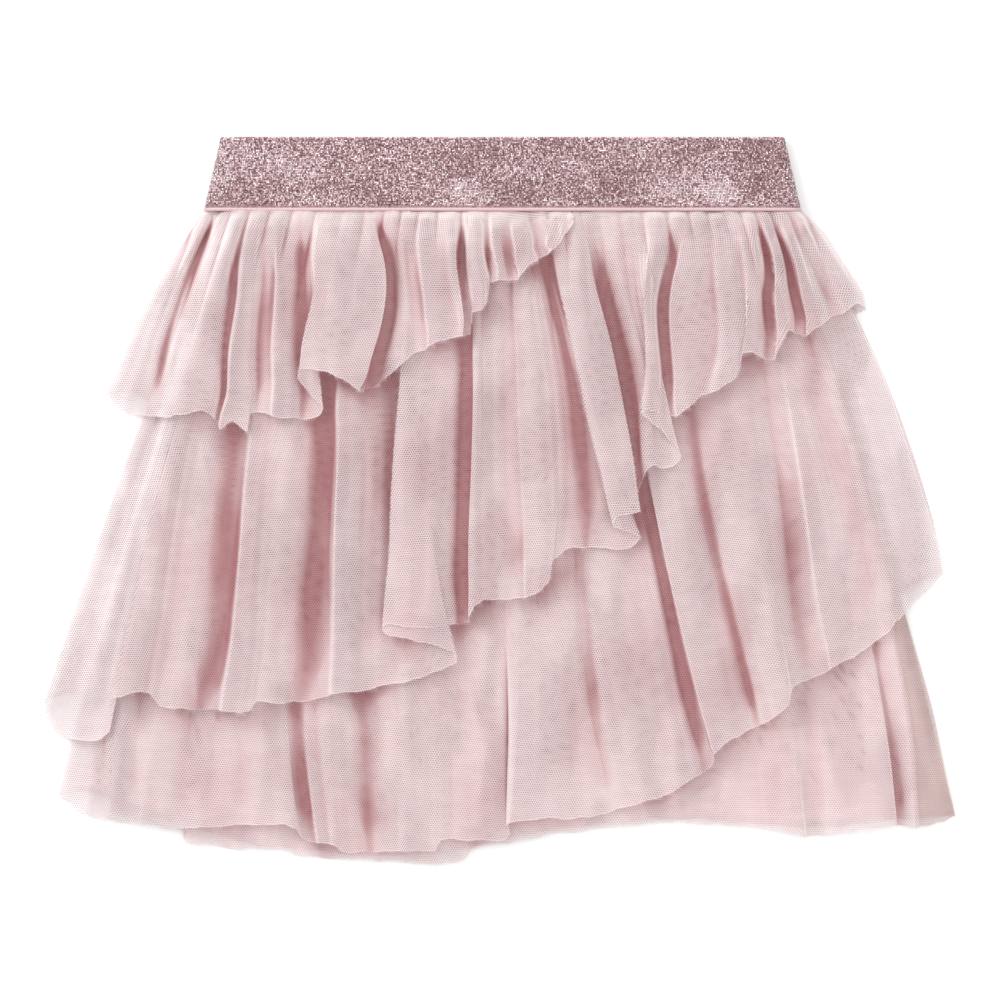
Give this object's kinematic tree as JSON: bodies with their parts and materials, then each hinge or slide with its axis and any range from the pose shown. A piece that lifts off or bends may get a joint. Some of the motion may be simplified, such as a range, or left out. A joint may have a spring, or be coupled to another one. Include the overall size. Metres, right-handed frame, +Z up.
{
  "type": "tulle skirt",
  "caption": "Pull-on skirt of pink net with layered oblique tiers gathered into a wide metallic elastic waistband, laid flat on its back.",
  "frame": {"origin": "centre of the box's base, on the surface that the skirt lies on", "axes": "+Z up from the surface, +Y from the hem to the waistband, +X across the skirt from its left side as seen to its right"},
  "size_m": [0.3744, 0.2984, 0.0274],
  "materials": {
    "metallic_elastic": "knitted elastic with rose metallic yarn, plain lower selvedge",
    "tier_1_net": "soft dusty pink net with fine six-sided cells, raw cut hem",
    "tier_2_net": "soft dusty pink net with fine six-sided cells, raw cut hem",
    "tier_3_net": "soft dusty pink net with fine six-sided cells, raw cut hem",
    "tier_4_net": "soft dusty pink net with fine six-sided cells, raw cut hem"
  },
  "bodies": {
    "root": {"waistband": "metallic_elastic", "tier_1_front": "tier_1_net", "tier_1_back": "tier_1_net", "tier_2_front": "tier_2_net", "tier_2_back": "tier_2_net", "tier_3_front": "tier_3_net", "tier_3_back": "tier_3_net", "tier_4_front": "tier_4_net", "tier_4_back": "tier_4_net"}
  },
  "joints": []
}
